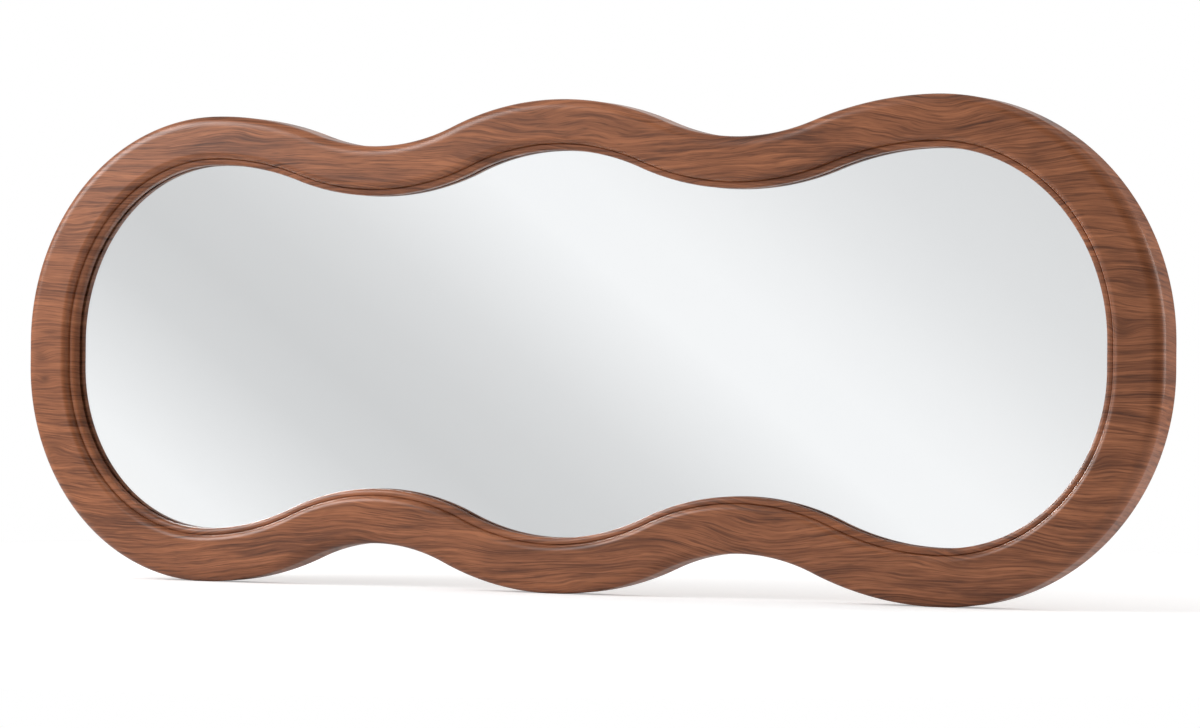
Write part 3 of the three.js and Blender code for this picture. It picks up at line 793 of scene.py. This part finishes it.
def board_screw_profile():
    top = BOARD_FRONT + BOARD_THICKNESS - SCREW_SINK
    tip = top - SCREW_LENGTH
    return top, [
        (0, tip), (SCREW_RADIUS, tip + 2.5), (SCREW_RADIUS, top - SCREW_HEAD_HEIGHT),
        (SCREW_HEAD_RADIUS - 0.1, top - 0.25), (SCREW_HEAD_RADIUS, top - 0.12),
        (SCREW_HEAD_RADIUS - 0.12, top), (0, top),
    ]


def make_back_board(steel):
    places = board_screw_places()
    top, profile = board_screw_profile()
    outline = [inset(s, BOARD_WALL + EDGE_CLEARANCE) for s in STATIONS]
    board = mesh_object("backing_board", prism(outline, BOARD_FRONT, BOARD_FRONT + BOARD_THICKNESS))
    shank = SCREW_RADIUS + SCREW_CLEARANCE
    head = SCREW_HEAD_RADIUS + SCREW_CLEARANCE
    hole = [
        (0, BOARD_FRONT - 2), (shank, BOARD_FRONT - 2),
        (shank, top - SCREW_HEAD_HEIGHT - SCREW_CLEARANCE),
        (head, top), (head, top + 2), (0, top + 2),
    ]
    holes = bmesh.new()
    single = mesh_object("hole", turned(hole, 32))
    for x, z in places:
        copy = single.data.copy()
        copy.transform(Matrix.Translation((x, 0, z)))
        holes.from_mesh(copy)
        bpy.data.meshes.remove(copy)
    bpy.data.objects.remove(single)
    boolean(board, mesh_object("holes", holes), "DIFFERENCE")
    smooth(board)
    to_model(board)
    finish_piece(board, [hardboard()], "frame", "fibreboard", "back_board")
    for i, (x, z) in enumerate(places):
        screw = screw_mesh(f"countersunk_screw_{i + 1:02d}", profile, top, 2.1, 1.5, 0.7 + 1.9 * i)
        to_model(screw, x, z)
        finish_piece(screw, [steel], "frame", "zinc_steel", f"board_screw_{i + 1:02d}")


def rim_point(corner, angle):
    """Middle of the rear rim, where the outer wall of a corner faces at an angle."""
    return inset(station(corner, 1, math.radians(angle)), RIM_MIDDLE)


def hanger_places():
    """Name, x and z of each hanger's eye, and its turn about Y from strap down."""
    half = STRAP_LENGTH / 2
    level_z = LEVEL_HANGER_HEIGHT + half
    strap_end_z = LEVEL_HANGER_HEIGHT - half
    level_x = (end_reach(level_z, RIM_MIDDLE) + end_reach(strap_end_z, RIM_MIDDLE)) / 2
    top_z = rim_point(TOP_CORNER, 90)[1]
    bottom_z = rim_point(BOTTOM_CORNER, -90)[1]
    upright_x = -(TOP_CORNER[0] + BOTTOM_CORNER[0]) / 2 - half
    return [
        ("level_left", -level_x, level_z, 0),
        ("level_right", level_x, level_z, 0),
        ("upright_top", upright_x, top_z, -math.pi / 2),
        ("upright_bottom", upright_x, bottom_z, -math.pi / 2),
    ]


def tube_along_x(radius, length):
    half = length / 2
    bm = turned([(0, -half), (radius, -half), (radius, half), (0, half)], 40)
    bmesh.ops.rotate(bm, verts=bm.verts, matrix=Matrix.Rotation(math.pi / 2, 3, "Z"))
    bmesh.ops.translate(bm, verts=bm.verts, vec=(0, RING_DEPTH, 0))
    return bm


def strap_object(name):
    half = STRAP_WIDTH / 2
    outline = [(-half, 0)] + arc(0, half - STRAP_LENGTH, half, 180, 360, 24) + [(half, 0)]
    strap = mesh_object(name, prism(outline, STRAP_FRONT, STRAP_BACK))
    neck_outline = [(-half, -EYE_OUTER), (half, -EYE_OUTER), (half, 0), (-half, 0)]
    neck = prism(neck_outline, STRAP_FRONT, RING_DEPTH)
    boolean(strap, mesh_object("neck", neck), "UNION")
    boolean(strap, mesh_object("eye", tube_along_x(EYE_OUTER, STRAP_WIDTH)), "UNION")
    boolean(strap, mesh_object("bore", tube_along_x(EYE_INNER, STRAP_WIDTH * 2)), "DIFFERENCE")
    radius = STRAP_SCREW_RADIUS + CONTACT_GAP
    front, back = STRAP_FRONT - 2, STRAP_BACK + 2
    for offset in STRAP_SCREW_INSETS:
        hole = turned([(0, front), (radius, front), (radius, back), (0, back)], 24)
        bmesh.ops.translate(hole, verts=hole.verts, vec=(0, 0, offset - STRAP_LENGTH))
        boolean(strap, mesh_object("hole", hole), "DIFFERENCE")
    bevel(strap, 0.22)
    smooth(strap, 35)
    return strap


def ring_object(name):
    corner = RING_HALF_WIDTH - RING_CORNER
    path = arc(corner, -RING_CORNER, RING_CORNER, 90, 0, 8)
    path += arc(0, RING_HALF_WIDTH - RING_LENGTH, RING_HALF_WIDTH, 0, -180, 36)
    path += arc(-corner, -RING_CORNER, RING_CORNER, 180, 90, 8)
    rings = []
    for i, (x, z) in enumerate(path):
        before, after = path[i - 1], path[(i + 1) % len(path)]
        along = Vector((after[0] - before[0], after[1] - before[1])).normalized()
        circle = []
        for k in range(WIRE_SIDES):
            angle = 2 * math.pi * k / WIRE_SIDES
            out = WIRE_RADIUS * math.cos(angle)
            depth = RING_DEPTH + WIRE_RADIUS * math.sin(angle)
            circle.append((x - along.y * out, depth, z + along.x * out))
        rings.append(circle)
    return mesh_object(name, closed_sweep(rings))


def strap_screw_profile():
    seat = STRAP_BACK + CONTACT_GAP
    top = seat + STRAP_SCREW_HEAD_HEIGHT
    rim = 0.5
    dome = []
    for degrees in (0, 18, 36, 54, 70, 82):
        angle = math.radians(degrees)
        rise = rim + (STRAP_SCREW_HEAD_HEIGHT - rim) * math.sin(angle)
        dome.append((STRAP_SCREW_HEAD_RADIUS * math.cos(angle), seat + rise))
    tip = seat - STRAP_SCREW_LENGTH
    return top, [(0, tip), (STRAP_SCREW_RADIUS, tip + 2.5), (STRAP_SCREW_RADIUS, seat),
                 (STRAP_SCREW_HEAD_RADIUS, seat)] + dome + [(0, top)]


def make_hangers(steel):
    top, profile = strap_screw_profile()
    for index, (name, x, z, turn) in enumerate(hanger_places()):
        strap = strap_object(f"strap_{name}")
        to_model(strap, x, z, turn)
        finish_piece(strap, [steel], "frame", "zinc_steel", f"hanger_strap_{name}")
        ring = ring_object(f"ring_{name}")
        to_model(ring, x, z, turn)
        finish_piece(ring, [steel], f"ring_{name}", "zinc_steel", f"hanger_ring_{name}")
        for i, offset in enumerate(STRAP_SCREW_INSETS):
            tilt = 0.4 + 1.3 * i + 0.9 * index
            screw = screw_mesh(f"pan_screw_{name}_{i + 1}", profile, top, 1.9, 1.4, tilt)
            screw.data.transform(Matrix.Translation((0, 0, offset - STRAP_LENGTH)))
            to_model(screw, x, z, turn)
            finish_piece(screw, [steel], "frame", "zinc_steel", f"hanger_screw_{name}_{i + 1}")


def make_bumpers():
    front = STRAP_FRONT
    back = front + BUMPER_THICKNESS
    lip, ease = 1.5, 0.3
    profile = [(0, front), (BUMPER_RADIUS - ease, front), (BUMPER_RADIUS, front + ease)]
    profile += arc(BUMPER_RADIUS - lip, back - lip, lip, 0, 90, 8)
    profile += [(0, back)]
    rubber = black_rubber()
    bumpers = (
        ("top_right", TOP_CORNER, 1, BUMPER_ANGLE),
        ("top_left", TOP_CORNER, -1, BUMPER_ANGLE),
        ("bottom_right", BOTTOM_CORNER, 1, -BUMPER_ANGLE),
        ("bottom_left", BOTTOM_CORNER, -1, -BUMPER_ANGLE))
    for name, corner, side, angle in bumpers:
        x, z = rim_point(corner, angle)
        obj = mesh_object(f"rubber_bumper_{name}", turned(profile, 40))
        to_model(obj, side * x, z)
        finish_piece(obj, [rubber], "frame", "rubber", f"bumper_{name}")


def dress_hidden_nodes():
    """The tenons and tapes keep their CAD shapes."""
    for prefix, material in (("tenon_", beech()), ("tape_", white_foam())):
        for name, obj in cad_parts.items():
            if name.startswith(prefix):
                obj.data.materials.clear()
                obj.data.materials.append(material)


# ---------------------------------------------------------------- camera, floor and light
def make_camera():
    data = bpy.data.cameras.new("camera")
    data.sensor_fit = "HORIZONTAL"
    data.sensor_width = SENSOR_WIDTH
    data.lens = FOCAL_PIXELS * SENSOR_WIDTH / IMAGE_WIDTH
    data.clip_end = 100
    forward = Vector((
        math.sin(CAMERA_YAW) * math.cos(CAMERA_PITCH),
        math.cos(CAMERA_YAW) * math.cos(CAMERA_PITCH),
        math.sin(CAMERA_PITCH)))
    right = Vector((math.cos(CAMERA_YAW), -math.sin(CAMERA_YAW), 0))
    up = right.cross(forward)
    rolled_right = right * math.cos(CAMERA_ROLL) + up * math.sin(CAMERA_ROLL)
    rolled_up = up * math.cos(CAMERA_ROLL) - right * math.sin(CAMERA_ROLL)
    turn = Matrix((rolled_right, rolled_up, -forward)).transposed()
    camera = bpy.data.objects.new("camera", data)
    camera.matrix_world = Matrix.Translation(CAMERA_PLACE) @ turn.to_4x4()
    bpy.context.scene.collection.objects.link(camera)
    bpy.context.scene.camera = camera


FLOOR_RADIUS = 1.75
FLOOR_FADE = (1.05, 1.73)
FLOOR_TONE = 0.80
FLOOR_GLOW = 0.33


def make_floor():
    """A pale floor that fades out into the backdrop, and keeps the mirror's shadow."""
    bm = bmesh.new()
    bmesh.ops.create_circle(bm, cap_ends=True, radius=FLOOR_RADIUS, segments=96)
    floor = mesh_object("floor", bm)
    material, tree, shader = new_material("floor", Roughness=0.9, Specular_IOR_Level=0.1)
    shader.inputs["Base Color"].default_value = (FLOOR_TONE, FLOOR_TONE, FLOOR_TONE, 1)
    path = node(tree, "ShaderNodeLightPath").outputs
    seen = calc(tree, "MAXIMUM", path["Is Camera Ray"], path["Is Transmission Ray"])
    strength = times(tree, seen, FLOOR_GLOW)
    glow = node(tree, "ShaderNodeEmission", {"Color": (1, 1, 1, 1), "Strength": strength})
    lit = node(tree, "ShaderNodeAddShader", {0: shader.outputs[0], 1: glow.outputs[0]})
    clear = node(tree, "ShaderNodeBsdfTransparent")
    split = node(tree, "ShaderNodeSeparateXYZ", {0: rest_place(tree)}).outputs
    squares = plus(tree, times(tree, split[0], split[0]), times(tree, split[1], split[1]))
    fade = stretch(tree, calc(tree, "SQRT", squares), *FLOOR_FADE)
    both = mixed_shader(tree, fade, lit, clear)
    output = next(n for n in tree.nodes if n.type == "OUTPUT_MATERIAL")
    tree.links.new(both.outputs[0], output.inputs["Surface"])
    floor.data.materials.append(material)


# What the mirror reflects: a grey tone at each angle round the room, in degrees from the front.
# The bands lean by so much for each degree of height.
STUDIO_BANDS = (
    (-180, 0.70), (-130, 0.85), (-95, 0.95), (-78, 0.35), (-55, 0.15), (-15, 0.20), (2, 0.56),
    (12.5, 0.63), (21.7, 0.78), (26.2, 1.09), (28.6, 0.81), (31.0, 0.68), (32.6, 0.66),
    (34.3, 0.73), (36.4, 0.97), (42, 1.13), (60, 1.0), (95, 0.95), (130, 0.7), (180, 0.70))
BAND_LEAN = 1.214
AMBIENT_STRENGTH = 0.85
SHEEN_STRENGTH = 0.4


def grey(value):
    """A grey with a trace of blue."""
    return (value, value * 1.005, value * 1.015, 1)


def make_world():
    """White behind everything, soft grey bands for what the mirror reflects, and even light."""
    world = bpy.data.worlds.new("studio")
    bpy.context.scene.world = world
    world.use_nodes = True
    tree = world.node_tree
    tree.nodes.clear()
    ray = node(tree, "ShaderNodeTexCoord").outputs["Generated"]
    split = node(tree, "ShaderNodeSeparateXYZ", {0: ray}).outputs
    turn = calc(tree, "ARCTAN2", times(tree, split[0], -1), times(tree, split[1], -1))
    rise = calc(tree, "ARCSINE", split[2])
    slant = minus(tree, turn, times(tree, rise, BAND_LEAN))
    degrees = calc(tree, "WRAP", times(tree, slant, 180 / math.pi), 180, -180)
    share = calc(tree, "DIVIDE", plus(tree, degrees, 180), 360)
    stops = [((angle + 180) / 360, grey(value)) for angle, value in STUDIO_BANDS]
    reflected = ramp(tree, share, stops, "B_SPLINE")

    def light(colour, strength):
        return node(tree, "ShaderNodeBackground", {"Color": colour, "Strength": strength})

    path = node(tree, "ShaderNodeLightPath").outputs
    ambient = light(reflected, AMBIENT_STRENGTH)
    sheen = light(reflected, SHEEN_STRENGTH)
    soft = mixed_shader(tree, path["Is Glossy Ray"], ambient, sheen)
    others = mixed_shader(tree, path["Is Transmission Ray"], soft, light(reflected, 1.0))
    seen = mixed_shader(tree, path["Is Camera Ray"], others, light((1, 1, 1, 1), 1.0))
    node(tree, "ShaderNodeOutputWorld", {"Surface": seen.outputs[0]})


def area_lamp(name, where, target, size, power, colour=(1, 1, 1)):
    data = bpy.data.lights.new(name, "AREA")
    data.shape = "RECTANGLE"
    data.size, data.size_y = size
    data.energy = power
    data.color = colour
    lamp = bpy.data.objects.new(name, data)
    aim = Vector(target) - Vector(where)
    turn = aim.to_track_quat("-Z", "Y").to_matrix().to_4x4()
    lamp.matrix_world = Matrix.Translation(where) @ turn
    lamp.visible_camera = False
    bpy.context.scene.collection.objects.link(lamp)


def make_lamps():
    middle = (0, 0, 0.3)
    area_lamp("key", (-3.0, -2.0, 2.0), (-0.3, 0, 0.3), (2.2, 2.2), 130)
    area_lamp("side", (3.0, 1.1, 0.9), (0.7, 0, 0.3), (2.0, 2.0), 42, (1, 0.95, 0.91))
    area_lamp("above", (0.2, -0.5, 2.6), middle, (3.2, 1.0), 8)
    area_lamp("rear", (-1.2, 3.0, 1.8), middle, (2.4, 1.6), 8)


make_camera()
make_boards()
make_glass()
steel = zinc_steel()
make_back_board(steel)
make_hangers(steel)
make_bumpers()
dress_hidden_nodes()
make_floor()
make_world()
make_lamps()
bpy.context.scene.view_settings.view_transform = "Standard"
